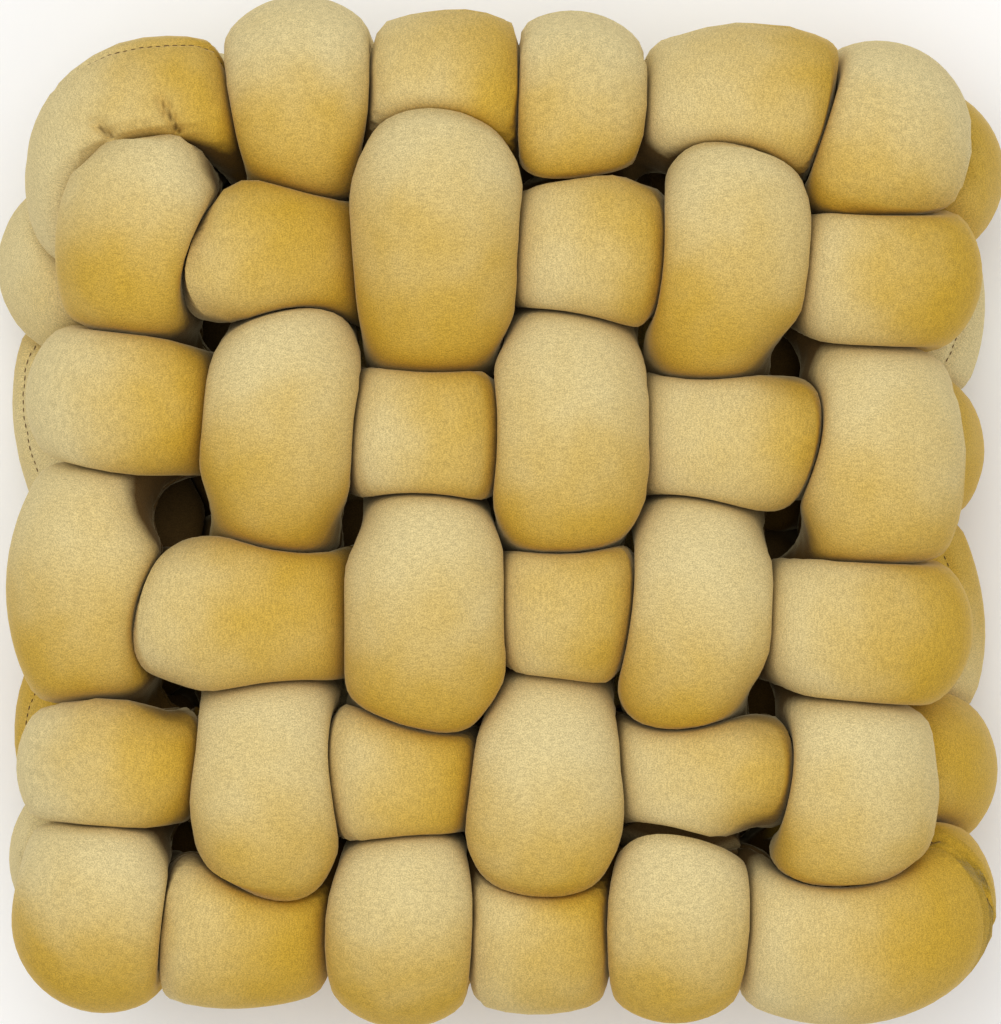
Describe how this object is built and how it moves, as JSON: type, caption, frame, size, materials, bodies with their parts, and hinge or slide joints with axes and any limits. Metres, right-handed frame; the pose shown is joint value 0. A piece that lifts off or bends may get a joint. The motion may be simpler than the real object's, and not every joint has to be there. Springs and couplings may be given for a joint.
{
  "type": "knot cushion",
  "caption": "Square knot cushion, woven over and under from an endless stuffed velvet tube that wraps round its edges.",
  "frame": {"origin": "on the floor under the middle of the cushion, which lies on its back", "axes": "+Z out of the woven face, +Y towards its upper edge, +X towards its right edge"},
  "size_m": [0.3032, 0.3022, 0.1398],
  "materials": {
    "velvet": "short-pile velvet, matt with a soft sheen"
  },
  "bodies": {
    "root": {"woven_tube": "velvet"}
  },
  "joints": []
}
